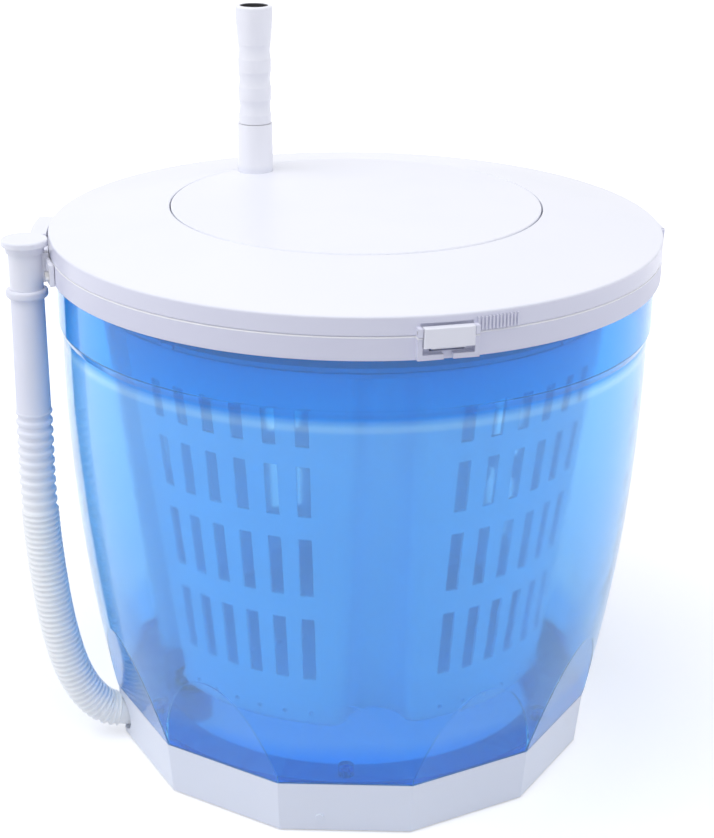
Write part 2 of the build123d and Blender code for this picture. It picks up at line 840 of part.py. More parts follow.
def toothed_outline(teeth, radii, thickness, turn=0.0):
    # Corners of the teeth, or of an inside gear's spaces, whose flanks have a corner at each radius
    pitch_radius = gear_module * teeth / 2
    base_radius = pitch_radius * cos(pressure_angle)
    corners = []
    for tooth in range(teeth):
        middle = turn + 2 * pi * tooth / teeth
        for side in (-1, 1):
            for radius in radii[::-side]:
                rolled = acos(min(1, base_radius / radius))
                half = thickness / (2 * pitch_radius) + involute(pressure_angle) - involute(rolled)
                corners.append((radius * cos(middle + side * half), radius * sin(middle + side * half)))
    return corners


def toothed_bar(corners, place, low, high, mode=Mode.ADD):
    with BuildSketch(Plane((place[0], place[1], low))) as outline:
        with BuildLine():
            Polyline(*corners, close=True)
        make_face()
    extrude(outline.sketch, amount=high - low, mode=mode)


def d_bar(radius, flat, low, high, mode=Mode.ADD):
    # A round bar or bore with one flat
    with BuildSketch(Plane.XY.offset(low)) as outline:
        Circle(radius)
        with Locations((flat, 0)):
            Rectangle(2 * radius, 2 * radius, align=(Align.MAX, Align.CENTER), mode=Mode.INTERSECT)
    extrude(outline.sketch, amount=high - low, mode=mode)


half_pitch = pi * gear_module / 2
small_pitch_radius = gear_module * planet_teeth / 2
small_base_radius = small_pitch_radius * cos(pressure_angle)
flank_steps = [0, 0.33, 0.67, 1]
small_tip = small_pitch_radius + addendum
small_radii = [small_base_radius + (small_tip - small_base_radius) * step for step in flank_steps]
small_radii = [small_pitch_radius - dedendum] + small_radii
# The planets have a space, and the sun and the ring a tooth, on each line from the axis to a planet
planet_corners = toothed_outline(planet_teeth, small_radii, half_pitch - tooth_play, pi / planet_teeth)
sun_corners = toothed_outline(sun_teeth, small_radii, half_pitch - tooth_play)

for step, angle in enumerate(planet_angles):
    with BuildPart() as planet_gear:
        place = around(angle, planet_ring)
        toothed_bar(planet_corners, place, gear_bottom, gear_top)
        posts([angle], planet_ring, planet_pin_radius + shaft_gap, gear_bottom, gear_top, Mode.SUBTRACT)
    save(planet_gear, f"planet_gear_{step + 1}")

with BuildPart() as sun_gear:
    toothed_bar(sun_corners, (0, 0), gear_bottom, gear_top)
    d_bar(shaft_radius + held_gap, shaft_flat + held_gap, gear_bottom, gear_top, Mode.SUBTRACT)
save(sun_gear, "sun_gear")

ring_pitch_radius = gear_module * ring_teeth / 2
ring_tip = ring_pitch_radius - ring_addendum
ring_root = ring_pitch_radius + dedendum
ring_radii = [ring_tip + (ring_root - ring_tip) * step for step in flank_steps]
ring_corners = toothed_outline(ring_teeth, ring_radii, half_pitch + tooth_play, pi / ring_teeth)
ring_outer = ring_root + ring_gear_rim
ring_gear_top = disc_underside - disc_boss_height
ring_screw_ring = ring_outer + ring_screw_inset
ring_flange_bottom = ring_gear_top - ring_flange_thickness

with BuildPart() as ring_gear:
    band(0, ring_outer, gear_bottom, ring_gear_top)
    band(0, ring_outer + ring_flange_width, ring_flange_bottom, ring_gear_top)
    toothed_bar(ring_corners, (0, 0), gear_bottom, gear_top, Mode.SUBTRACT)
    band(0, ring_root + body_gap, gear_top, ring_gear_top, Mode.SUBTRACT)
    ring_screw_hole = screw_radius + body_gap
    posts(six_ways, ring_screw_ring, ring_screw_hole, ring_flange_bottom, ring_gear_top, Mode.SUBTRACT)
save(ring_gear, "ring_gear")

ring_screw_top = disc_underside + disc_thickness / 2
with BuildPart() as ring_gear_screws:
    head_bottom = ring_flange_bottom - screw_head_height
    posts(six_ways, ring_screw_ring, screw_head_radius, head_bottom, ring_flange_bottom)
    posts(six_ways, ring_screw_ring, screw_radius, ring_flange_bottom, ring_screw_top)
save(ring_gear_screws, "ring_gear_screws")

# Drive shaft, with a flat for the sun gear and one for the basket's cover
cover_bottom = basket_top + body_gap
cover_top = cover_bottom + cover_thickness
cover_hub_top = hub_boss_bottom - body_gap
shaft_bottom = cover_bottom + cover_screw_head_height + body_gap
cover_screw_top = shaft_bottom + cover_screw_length

with BuildPart() as drive_shaft:
    band(0, shaft_radius, shaft_bottom, shaft_top)
    for low, high in ((shaft_bottom, cover_hub_top), (gear_bottom, shaft_top)):
        with BuildSketch(Plane.XY.offset(low)):
            with Locations((shaft_flat, 0)):
                Rectangle(shaft_radius, 2 * shaft_radius, align=(Align.MIN, Align.CENTER))
        extrude(amount=high - low, mode=Mode.SUBTRACT)
    band(0, cover_screw_radius + held_gap, shaft_bottom, cover_screw_top + screw_hole_spare, Mode.SUBTRACT)
    chamfer(drive_shaft.edges().group_by(Axis.Z)[-1], shaft_chamfer)
save(drive_shaft, "drive_shaft")

# Basket cover
lug_angles = [lug_angle + 360 * step / lug_count for step in range(lug_count)]
cover_slot_length = cover_slot_outer - cover_slot_inner
cover_slot_angles = [360 * step / cover_slot_count for step in range(cover_slot_count)]
cover_rib_angles = [360 * (step + 0.5) / cover_rib_count for step in range(cover_rib_count)]
rib_outline = (
    (cover_hub_radius / 2, cover_top),
    (cover_slot_outer, cover_top),
    (cover_slot_outer, cover_top + cover_rib_height / 2),
    (cover_hub_radius, cover_top + cover_rib_height),
    (cover_hub_radius / 2, cover_top + cover_rib_height),
)

with BuildPart() as basket_cover:
    band(0, cover_radius, cover_bottom, cover_top)
    band(0, cover_hub_radius, cover_bottom, cover_hub_top)
    for angle in cover_rib_angles:
        across(angle, rib_outline, cover_rib_thickness)
    d_bar(shaft_radius + held_gap, shaft_flat + held_gap, shaft_bottom, cover_hub_top, Mode.SUBTRACT)
    band(0, cover_screw_head_radius + body_gap, cover_bottom, shaft_bottom, Mode.SUBTRACT)
    slot_planes = []
    for angle in cover_slot_angles:
        middle = around(angle, (cover_slot_inner + cover_slot_outer) / 2, cover_bottom)
        slot_planes.append(Plane(middle, x_dir=around(angle, 1), z_dir=(0, 0, 1)))
    with BuildSketch(*slot_planes):
        SlotOverall(cover_slot_length, cover_slot_width)
    extrude(amount=cover_thickness, mode=Mode.SUBTRACT)
    notch = (
        (lug_inner - lug_gap, cover_bottom),
        (cover_radius + cut_over, cover_bottom),
        (cover_radius + cut_over, cover_top),
        (lug_inner - lug_gap, cover_top),
    )
    for angle in lug_angles:
        across(angle, notch, lug_width + 2 * lug_gap, Mode.SUBTRACT)
save(basket_cover, "basket_cover")

with BuildPart() as cover_screw:
    band(0, cover_screw_head_radius, shaft_bottom - cover_screw_head_height, shaft_bottom)
    band(0, cover_screw_radius, shaft_bottom, cover_screw_top)
save(cover_screw, "cover_screw")

# Crank disc, with its snap hooks under the lid's ledge
hook_outer = ledge_inner_radius - body_gap
hook_inner = hook_outer - hook_thickness
barb_top = ledge_bottom - body_gap
handle_x, handle_y, _ = around(handle_angle, handle_ring)

with BuildPart() as crank_disc:
    with BuildSketch(Plane.XZ) as disc_section:
        with BuildLine():
            disc_dome = ThreePointArc(
                (-disc_radius, disc_edge_height),
                (0, disc_edge_height + disc_rise),
                (disc_radius, disc_edge_height),
            )
            Polyline(
                (disc_radius, disc_edge_height),
                (disc_radius, disc_underside),
                (-disc_radius, disc_underside),
                (-disc_radius, disc_edge_height),
            )
        make_face()
        split(bisect_by=Plane.YZ)
        fillet(disc_section.vertices().group_by(Axis.X)[-1].sort_by(Axis.Y)[-1], disc_edge_round)
    revolve(axis=Axis.Z)
    band(disc_radius - disc_lip, disc_radius, ledge_height + body_gap, disc_underside)
    band(0, disc_hub_radius, disc_underside - disc_hub_depth, disc_underside)
    posts(six_ways, ring_screw_ring, disc_boss_radius, ring_gear_top, disc_underside)
    posts(six_ways, ring_screw_ring, pin_hole, ring_gear_top, ring_screw_top, Mode.SUBTRACT)
    band(0, shaft_radius + shaft_gap, disc_underside - disc_hub_depth, shaft_top + body_gap, Mode.SUBTRACT)
    hook_outline = (
        (hook_inner, disc_underside + disc_thickness / 2),
        (hook_outer, disc_underside + disc_thickness / 2),
        (hook_outer, barb_top),
        (hook_outer + hook_barb, barb_top),
        (hook_outer, barb_top - hook_barb_height),
        (hook_inner, barb_top - hook_barb_height),
    )
    for hook in range(hook_count):
        across(handle_angle + (hook + 0.5) * 360 / hook_count, hook_outline, hook_width)
    posts([handle_angle], handle_ring, post_radius, disc_underside, handle_post_height)
    spindle_hole = spindle_radius + held_gap
    posts([handle_angle], handle_ring, spindle_hole, disc_underside, handle_post_height, Mode.SUBTRACT)
save(crank_disc, "crank_disc")

# Handle
grip_bottom = handle_post_height + body_gap
grip_top = grip_bottom + grip_length
grip_seat = grip_top - grip_recess_depth
washer_bottom = grip_seat + body_gap
spindle_top = washer_bottom
nut_bottom = disc_underside - spindle_nut_height
grip_screw_bottom = spindle_top - grip_screw_length

with BuildPart() as handle_spindle:
    posts([handle_angle], handle_ring, spindle_radius, nut_bottom, spindle_top)
    screw_hole = grip_screw_radius + held_gap
    hole_bottom = grip_screw_bottom - screw_hole_spare
    posts([handle_angle], handle_ring, screw_hole, hole_bottom, spindle_top, Mode.SUBTRACT)
save(handle_spindle, "handle_spindle")

with BuildPart() as spindle_nut:
    with BuildSketch(Plane(around(handle_angle, handle_ring, nut_bottom))):
        RegularPolygon(spindle_nut_width / 2, 6, major_radius=False)
        Circle(spindle_radius + held_gap, mode=Mode.SUBTRACT)
    extrude(amount=spindle_nut_height)
save(spindle_nut, "spindle_nut")

groove_curve = (grip_groove_height**2 / 4 + grip_groove_depth**2) / (2 * grip_groove_depth)
grip_axis = Axis((handle_x, handle_y, 0), (0, 0, 1))
with BuildPart() as handle_grip:
    with BuildSketch(Plane((handle_x, handle_y, 0), x_dir=(1, 0, 0), z_dir=(0, -1, 0))):
        with BuildLine():
            Polyline(
                (0, grip_bottom),
                (grip_radius, grip_bottom),
                (grip_radius, grip_top - grip_head_height - grip_head_slope),
                (grip_head_radius, grip_top - grip_head_height),
                (grip_head_radius, grip_top),
                (0, grip_top),
                close=True,
            )
        make_face()
    revolve(axis=grip_axis)
    fillet(handle_grip.edges().sort_by(Axis.Z)[-1], grip_edge_round)
    with BuildSketch(Plane((handle_x, handle_y, 0), x_dir=(1, 0, 0), z_dir=(0, -1, 0))):
        for groove in range(groove_count):
            groove_middle = grip_bottom + first_groove_height + groove * groove_pitch
            with Locations((grip_radius - grip_groove_depth + groove_curve, groove_middle)):
                Circle(groove_curve)
    revolve(axis=grip_axis, mode=Mode.SUBTRACT)
    posts([handle_angle], handle_ring, spindle_radius + shaft_gap, grip_bottom, grip_seat, Mode.SUBTRACT)
    posts([handle_angle], handle_ring, grip_recess_radius, grip_seat, grip_top, Mode.SUBTRACT)
    top_edges = handle_grip.edges().filter_by(GeomType.CIRCLE).group_by(Axis.Z)[-1]
    recess_edge = top_edges.sort_by(SortBy.LENGTH)[0]
    fillet(recess_edge, grip_inner_round)
save(handle_grip, "handle_grip")

washer_top = washer_bottom + grip_washer_thickness
with BuildPart() as grip_washer:
    posts([handle_angle], handle_ring, grip_recess_radius - 2 * body_gap, washer_bottom, washer_top)
    posts([handle_angle], handle_ring, grip_screw_radius + held_gap, washer_bottom, washer_top, Mode.SUBTRACT)
save(grip_washer, "grip_washer")

with BuildPart() as grip_screw:
    posts([handle_angle], handle_ring, grip_screw_radius, grip_screw_bottom, washer_top)
    head_top = washer_top + grip_screw_head_height
    posts([handle_angle], handle_ring, grip_screw_head_radius, washer_top, head_top)
    fillet(grip_screw.edges().sort_by(Axis.Z)[-1], grip_screw_head_height / 2)
save(grip_screw, "grip_screw")


# Basket
def basket_radius(height):
    share = (height - basket_bottom) / (basket_top - basket_bottom)
    return basket_bottom_radius + (basket_top_radius - basket_bottom_radius) * share


flute_angles = [flute_angle + 360 * step / flute_count for step in range(flute_count)]
flute_low = basket_bottom_radius - flute_bottom_depth + flute_radius
flute_high = basket_top_radius - flute_top_depth + flute_radius
flute_lean = (flute_high - flute_low) / (basket_top - basket_bottom)
lobe_angle = flute_angle + 180 / flute_count


def fluted_body(low, inset):
    # The basket's outside, or where inset is its wall the space inside, with its flutes rounded off
    low_radius = basket_radius(low) - inset
    with BuildPart() as body:
        with BuildSketch(radial_plane(lobe_angle)) as section:
            with BuildLine():
                Polyline(
                    (0, low),
                    (low_radius, low),
                    (basket_top_radius - inset, basket_top),
                    (0, basket_top),
                    close=True,
                )
            make_face()
        revolve(section.sketch, axis=Axis.Z)
        for angle in flute_angles:
            below = around(angle, flute_low - flute_lean * flute_radius, basket_bottom - flute_radius)
            above = around(angle, flute_high + flute_lean * flute_radius, basket_top + flute_radius)
            axis = Vector(*above) - Vector(*below)
            with BuildSketch(Plane(below, z_dir=axis)) as outline:
                Circle(flute_radius + inset)
            extrude(outline.sketch, amount=axis.length, mode=Mode.SUBTRACT)
        half_height = (basket_top - basket_bottom) / 2
        long_edges = [edge for edge in body.edges() if edge.bounding_box().size.Z > half_height]
        fillet(long_edges, flute_edge_round - inset)
        fillet(body.edges().group_by(Axis.Z)[0], basket_foot_round - inset)
    return body.part


inside_bottom = basket_bottom + basket_floor
basket_space = fluted_body(inside_bottom, basket_wall)

column_angles = []
first_column = (360 / flute_count - slot_pitch * (slot_columns - 1)) / 2
for angle in flute_angles:
    column_angles += [angle + first_column + slot_pitch * step for step in range(slot_columns)]
basket_hub_bottom = basket_bottom - basket_hub_drop
bush_top = basket_hub_bottom + basket_hub_height - pin_end_room

with BuildPart() as basket:
    add(fluted_body(basket_bottom, 0))
    band(0, basket_flange_radius, basket_top - basket_flange_thickness, basket_top)
    add(basket_space, mode=Mode.SUBTRACT)
    lug = (
        (lug_inner, basket_top),
        (lug_outer, basket_top),
        (lug_outer, basket_top + lug_height),
        (lug_inner, basket_top + lug_height),
    )
    for angle in lug_angles:
        across(angle, lug, lug_width)
    for low, high in slot_rows:
        start = basket_radius(low) - basket_wall - cut_over
        with BuildSketch(*[outward_plane(angle, start, (low + high) / 2) for angle in column_angles]):
            Rectangle(slot_width, high - low)
        extrude(amount=basket_radius(high) + cut_over - start, mode=Mode.SUBTRACT)
    hole_start = basket_radius(basket_hole_height) - basket_wall - cut_over
    hole_end = basket_radius(basket_hole_height) + cut_over
    spokes(column_angles, basket_hole_height, basket_hole_radius, hole_start, hole_end, Mode.SUBTRACT)
    for ring, count in floor_hole_rings:
        floor_angles = [360 * step / count for step in range(count)]
        posts(floor_angles, ring, floor_hole_radius, basket_bottom, inside_bottom, Mode.SUBTRACT)
    band(0, basket_hub_radius, basket_hub_bottom, basket_hub_bottom + basket_hub_height + basket_hub_cap)
    band(0, bush_radius + held_gap, basket_hub_bottom, bush_top, Mode.SUBTRACT)
    pin_room = pivot_pin_radius + body_gap
    band(0, pin_room, bush_top, basket_hub_bottom + basket_hub_height, Mode.SUBTRACT)
save(basket, "basket")

with BuildPart() as basket_bush:
    band(0, bush_flange_radius, basket_hub_bottom - bush_flange_thickness, basket_hub_bottom)
    band(0, bush_radius, basket_hub_bottom, bush_top)
    bush_bore = pivot_pin_radius + shaft_gap
    band(0, bush_bore, basket_hub_bottom - bush_flange_thickness, bush_top, Mode.SUBTRACT)
save(basket_bush, "basket_bush")

# Drain elbow through the tub's floor
seal_bottom = shelf_top - drain_seal_thickness
elbow_flange_bottom = seal_bottom - drain_flange_thickness
elbow_bottom = hose_height - drain_body_radius
drain_neck_top = floor_top + drain_nut_height + drain_neck_end
drain_place = around(hose_angle, drain_ring)

with BuildPart() as drain_elbow:
    posts([hose_angle], drain_ring, drain_body_radius, elbow_bottom, elbow_flange_bottom)
    posts([hose_angle], drain_ring, drain_flange_radius, elbow_flange_bottom, seal_bottom)
    posts([hose_angle], drain_ring, drain_neck_radius, seal_bottom, drain_neck_top)
    spokes([hose_angle], hose_height, nipple_radius, drain_ring, nipple_end)
    posts([hose_angle], drain_ring, drain_bore_radius, hose_height, drain_neck_top, Mode.SUBTRACT)
    spokes([hose_angle], hose_height, drain_bore_radius, drain_ring, nipple_end, Mode.SUBTRACT)
save(drain_elbow, "drain_elbow")

with BuildPart() as drain_seal:
    posts([hose_angle], drain_ring, drain_flange_radius, seal_bottom, shelf_top)
    posts([hose_angle], drain_ring, drain_neck_radius + held_gap, seal_bottom, shelf_top, Mode.SUBTRACT)
save(drain_seal, "drain_seal")

with BuildPart() as drain_nut:
    with BuildSketch(Plane((drain_place[0], drain_place[1], floor_top))):
        RegularPolygon(drain_nut_width / 2, 6, major_radius=False)
        Circle(drain_neck_radius + held_gap, mode=Mode.SUBTRACT)
    extrude(amount=drain_nut_height)
save(drain_nut, "drain_nut")

# Drain hose, from the fitting beside the rim down and in through the base. The corners of its route
# are in distance from the machine's axis and height, and each arc is as large as its runs allow.
hose_corners = [
    (hose_reach, bead_bottom),
    (hose_reach, 222.0),
    (191.8, 157.0),
    (187.0, 98.0),
    (181.2, 64.0),
    (174.8, 43.0),
    (165.5, 27.0),
    (152.5, hose_height),
    (nipple_end - hose_overlap, hose_height),
]
hose_radii = []
for before, corner, after in zip(hose_corners, hose_corners[1:], hose_corners[2:]):
    run_in = (corner[0] - before[0], corner[1] - before[1])
    run_out = (after[0] - corner[0], after[1] - corner[1])
    bend = atan2(run_out[1], run_out[0]) - atan2(run_in[1], run_in[0])
    bend = abs((bend + pi) % (2 * pi) - pi)
    shorter = min(hypot(*run_in), hypot(*run_out))
    hose_radii.append(0.45 * shorter / tan(bend / 2))
print("hose radii", [round(radius, 1) for radius in hose_radii])

with BuildLine(radial_plane(hose_angle)) as hose_line:
    FilletPolyline(*hose_corners, radius=hose_radii)
hose_path = hose_line.wires()[0]
hose_length = hose_path.length
hose_turn = radians(hose_angle)
across_hose = (cos(hose_turn), sin(hose_turn), 0)


def hose_plane(distance):
    share = min(max(distance / hose_length, 0), 1)
    return Plane(hose_path.position_at(share), x_dir=across_hose, z_dir=hose_path.tangent_at(share))


hose_sections = [(0, hose_plain_radius), (hose_cuff_length, hose_cuff_radius)]
rib_start = hose_cuff_length
for count, pitch, crest in (
    (coarse_rib_count, coarse_rib_pitch, coarse_rib_crest),
    (fine_rib_count, fine_rib_pitch, fine_rib_crest),
):
    for rib in range(count):
        for along, inward in rib_shape:
            hose_sections.append((rib_start + (rib + along) * pitch, crest - inward * rib_depth))
    rib_start += count * pitch
for step in range(1, plain_end_steps + 1):
    distance = rib_start + (hose_length - rib_start) * step / plain_end_steps
    hose_sections.append((distance, fine_rib_crest - rib_depth))

with BuildPart() as drain_hose:
    for distance, radius in hose_sections:
        with BuildSketch(hose_plane(distance)):
            Circle(radius)
    loft(ruled=True)
    with BuildSketch(hose_plane(0)) as hose_bore:
        Circle(hose_bore_radius)
    sweep(hose_bore.sketch, path=hose_path, mode=Mode.SUBTRACT)
save(drain_hose, "drain_hose")
print("hose length", round(hose_length, 1), "volume", round(drain_hose.part.volume))

clamp_bore = fine_rib_crest - rib_depth + shaft_gap
with BuildPart() as hose_clamp:
    with BuildSketch(outward_plane(hose_angle, clamp_ring - clamp_width / 2, hose_height)):
        Circle(clamp_bore + clamp_thickness)
        Circle(clamp_bore, mode=Mode.SUBTRACT)
    extrude(amount=clamp_width)
    with BuildSketch(outward_plane(hose_angle, clamp_ring - clamp_width / 2, hose_height)):
        with Locations((clamp_bore + clamp_lug_reach / 2, 0)):
            Rectangle(clamp_lug_reach, clamp_lug)
    extrude(amount=clamp_width)
    with BuildSketch(outward_plane(hose_angle, clamp_ring - clamp_width / 2, hose_height)):
        Circle(clamp_bore)
    extrude(amount=clamp_width, mode=Mode.SUBTRACT)
save(hose_clamp, "hose_clamp")

# Fitting in the hose's upper end
bead_top = bead_bottom + bead_height
with BuildPart() as hose_end_fitting:
    posts([hose_angle], hose_reach, bead_radius, bead_bottom, bead_top)
    fillet(hose_end_fitting.edges().filter_by(GeomType.CIRCLE), bead_height / 3)
    posts([hose_angle], hose_reach, spigot_radius, bead_bottom - spigot_length, bead_top + spigot_length)
    low_end = bead_bottom - spigot_length
    posts([hose_angle], hose_reach, spigot_bore_radius, low_end, bead_top + spigot_length, Mode.SUBTRACT)
save(hose_end_fitting, "hose_end_fitting")

# Bracket on the rim ring
pad_inner = rim_radius + body_gap
pad_outer = pad_inner + bracket_pad_thickness
upper_inner = lid_radius + lid_swing_gap
plate_bracket_top = bracket_plate_bottom + bracket_plate_thickness
pad_top = rim_top - body_gap

with BuildPart() as hose_bracket:
    sector(pad_inner, pad_outer, bracket_pad_start, bracket_pad_end, bracket_pad_bottom, pad_top)
    upper_outer = upper_inner + bracket_pad_thickness
    sector(upper_inner, upper_outer, bracket_pad_start, bracket_plate_end, pad_top - 2, plate_bracket_top)
    sector(
        upper_inner,
        bracket_plate_reach,
        bracket_pad_start,
        bracket_plate_end,
        bracket_plate_bottom,
        plate_bracket_top,
    )
    web_outline = (
        (upper_inner, bracket_web_top),
        (hose_reach, bracket_web_top),
        (hose_reach, bead_top),
        (hose_reach - bracket_radius / 2, bead_top),
        (upper_inner, bracket_pad_bottom),
    )
    across(hose_angle, web_outline, bracket_web)
    posts([hose_angle], hose_reach, bracket_radius, bead_top, bracket_top)
    posts([hose_angle], hose_reach, hose_bore_radius, bead_top, bracket_top, Mode.SUBTRACT)
    screw_space = screw_radius + body_gap / 2
    space_start = pad_inner - cut_over
    space_end = pad_outer + cut_over
    spokes(bracket_screw_angles, bracket_screw_height, screw_space, space_start, space_end, Mode.SUBTRACT)
save(hose_bracket, "hose_bracket")

with BuildPart() as bracket_screws:
    head_end = pad_outer + screw_head_height
    spokes(bracket_screw_angles, bracket_screw_height, screw_head_radius, pad_outer, head_end)
    screw_end = rim_radius - rim_wall + body_gap
    spokes(bracket_screw_angles, bracket_screw_height, screw_radius, screw_end, pad_outer)
save(bracket_screws, "bracket_screws")

# Cap over the hose's open end
cap_bottom = bracket_top + body_gap
with BuildPart() as hose_cap:
    posts([hose_angle], hose_reach, cap_radius, cap_bottom, cap_bottom + cap_thickness)
    fillet(hose_cap.edges().sort_by(Axis.Z)[-1], cap_thickness / 3)
    posts([hose_angle], hose_reach, cap_collar_radius, cap_bottom - cap_collar_depth, cap_bottom)
    collar_bore = bracket_radius + body_gap
    posts([hose_angle], hose_reach, collar_bore, cap_bottom - cap_collar_depth, cap_bottom, Mode.SUBTRACT)
    posts([hose_angle], hose_reach, cap_plug_radius, cap_bottom - cap_plug_depth, cap_bottom)
save(hose_cap, "hose_cap")
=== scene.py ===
import bpy
import math
import mathutils
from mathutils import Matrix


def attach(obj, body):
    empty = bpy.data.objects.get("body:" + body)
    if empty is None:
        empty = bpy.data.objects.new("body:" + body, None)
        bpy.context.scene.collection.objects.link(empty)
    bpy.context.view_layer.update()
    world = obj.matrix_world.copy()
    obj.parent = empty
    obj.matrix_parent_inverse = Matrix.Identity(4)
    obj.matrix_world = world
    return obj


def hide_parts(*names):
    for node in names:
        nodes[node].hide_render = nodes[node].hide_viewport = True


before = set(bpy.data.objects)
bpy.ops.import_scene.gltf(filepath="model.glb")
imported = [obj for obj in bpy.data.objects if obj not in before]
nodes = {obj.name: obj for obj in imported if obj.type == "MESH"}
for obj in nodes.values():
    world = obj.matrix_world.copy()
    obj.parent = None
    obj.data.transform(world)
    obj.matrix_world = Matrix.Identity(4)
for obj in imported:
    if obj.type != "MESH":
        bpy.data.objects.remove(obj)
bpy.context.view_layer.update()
scene = bpy.context.scene

# the camera stands where the photograph was taken from
cameraPlace = {
    "location": (0.01781, -1.01285, 0.6006),
    "turn": (68.4287, -0.6138, 1.1427),  # degrees
    "lens": 76.854,
    "sensor": 36.0,
}
cameraData = bpy.data.cameras.new("productCamera")
cameraData.lens = cameraPlace["lens"]
cameraData.sensor_width = cameraPlace["sensor"]
cameraData.clip_start = 0.01
camera = bpy.data.objects.new("productCamera", cameraData)
camera.location = cameraPlace["location"]
camera.rotation_euler = [math.radians(turn) for turn in cameraPlace["turn"]]
scene.collection.objects.link(camera)
scene.camera = camera
print("camera placed")


def addNode(tree, kind, place, **settings):
    node = tree.nodes.new(kind)
    node.location = place
    for key, value in settings.items():
        setattr(node, key, value)
    return node


def addMath(tree, operation, place, first=None, second=None, third=None, clamp=False):
    node = addNode(tree, "ShaderNodeMath", place, operation=operation, use_clamp=clamp)
    for socket, value in zip(node.inputs, (first, second, third)):
        if value is None:
            continue
        if isinstance(value, bpy.types.NodeSocket):
            tree.links.new(value, socket)
        else:
            socket.default_value = value
    return node.outputs[0]


def newSetup(name, inputs):
    # a Geometry Nodes tree with its named sizes
    tree = bpy.data.node_groups.new(name, "GeometryNodeTree")
    tree.interface.new_socket("Geometry", in_out="OUTPUT", socket_type="NodeSocketGeometry")
    tree.interface.new_socket("Geometry", in_out="INPUT", socket_type="NodeSocketGeometry")
    for label, kind in inputs:
        tree.interface.new_socket(label, in_out="INPUT", socket_type=kind)
    start = addNode(tree, "NodeGroupInput", (-1200, 0))
    end = addNode(tree, "NodeGroupOutput", (1600, 0))
    return tree, start, end


def runSetup(piece, tree, sizes):
    # sets the inputs, then keeps the result as a plain mesh
    modifier = piece.modifiers.new(tree.name, "NODES")
    modifier.node_group = tree
    for item in tree.interface.items_tree:
        if item.item_type == "SOCKET" and item.in_out == "INPUT" and item.name in sizes:
            modifier[item.identifier] = sizes[item.name]
    bpy.context.view_layer.update()
    shown = piece.evaluated_get(bpy.context.evaluated_depsgraph_get())
    made = bpy.data.meshes.new_from_object(shown)
    piece.modifiers.remove(modifier)
    return made


# finishes: the middle span of a noise, the turn from flat to edge, where wear breaks up, and a thin coat
finishRules = {
    "driftSpan": (0.32, 0.68), "rubSpan": (0.3, 0.7), "edgeTurn": (0.995, 0.86),
    "wearSpan": (0.35, 0.6), "wearLeast": 0.2, "coatRoughness": 0.08, "bevelRays": 4,
}


def startFinish(name):
    material = bpy.data.materials.new(name)
    material.use_nodes = True
    tree = material.node_tree
    tree.nodes.clear()
    coords = addNode(tree, "ShaderNodeTexCoord", (-1400, 0)).outputs["Object"]
    shader = addNode(tree, "ShaderNodeBsdfPrincipled", (300, 0))
    output = addNode(tree, "ShaderNodeOutputMaterial", (900, 0))
    tree.links.new(shader.outputs[0], output.inputs["Surface"])
    return material, tree, coords, shader, output


def addNoise(tree, coords, place, scale, detail=3.0, stretch=None):
    if stretch:
        turned = addNode(tree, "ShaderNodeMapping", (place[0] - 200, place[1]))
        turned.inputs["Scale"].default_value = stretch
        tree.links.new(coords, turned.inputs["Vector"])
        coords = turned.outputs[0]
    noise = addNode(tree, "ShaderNodeTexNoise", place)
    noise.inputs["Scale"].default_value = scale
    noise.inputs["Detail"].default_value = detail
    tree.links.new(coords, noise.inputs["Vector"])
    return noise.outputs["Fac"]


def addRange(tree, value, place, fromLow, fromHigh, toLow, toHigh):
    node = addNode(tree, "ShaderNodeMapRange", place)
    for label, number in (("From Min", fromLow), ("From Max", fromHigh), ("To Min", toLow), ("To Max", toHigh)):
        node.inputs[label].default_value = number
    tree.links.new(value, node.inputs["Value"])
    return node.outputs[0]


def addMix(tree, share, place, first, second):
    node = addNode(tree, "ShaderNodeMix", place, data_type="RGBA")
    tree.links.new(share, node.inputs[0])
    for socket, colour in ((node.inputs[6], first), (node.inputs[7], second)):
        if isinstance(colour, bpy.types.NodeSocket):
            tree.links.new(colour, socket)
        else:
            socket.default_value = (*colour, 1)
    return node.outputs[2]


def addSurface(tree, coords, shader, look):
    # soft edges, moulding grain and roughness that every finish has
    bevel = addNode(tree, "ShaderNodeBevel", (-900, -500), samples=finishRules["bevelRays"])
    bevel.inputs["Radius"].default_value = look["edge"]
    waves = addNoise(tree, coords, (-900, -700), look["waveScale"], 1.0)
    waveBump = addNode(tree, "ShaderNodeBump", (-500, -600))
    waveBump.inputs["Distance"].default_value = look["waveDepth"]
    tree.links.new(waves, waveBump.inputs["Height"])
    tree.links.new(bevel.outputs[0], waveBump.inputs["Normal"])
    grain = addNoise(tree, coords, (-900, -900), look["grainScale"], 2.0, look.get("grainStretch"))
    grainBump = addNode(tree, "ShaderNodeBump", (-250, -600))
    grainBump.inputs["Distance"].default_value = look["grainDepth"]
    tree.links.new(grain, grainBump.inputs["Height"])
    tree.links.new(waveBump.outputs[0], grainBump.inputs["Normal"])
    tree.links.new(grainBump.outputs[0], shader.inputs["Normal"])
    rubbed = addNoise(tree, coords, (-900, -250), look["rubScale"], 4.0)
    rough = addRange(tree, rubbed, (-500, -250), *finishRules["rubSpan"], *look["roughness"])
    tree.links.new(rough, shader.inputs["Roughness"])
    return bevel.outputs[0]


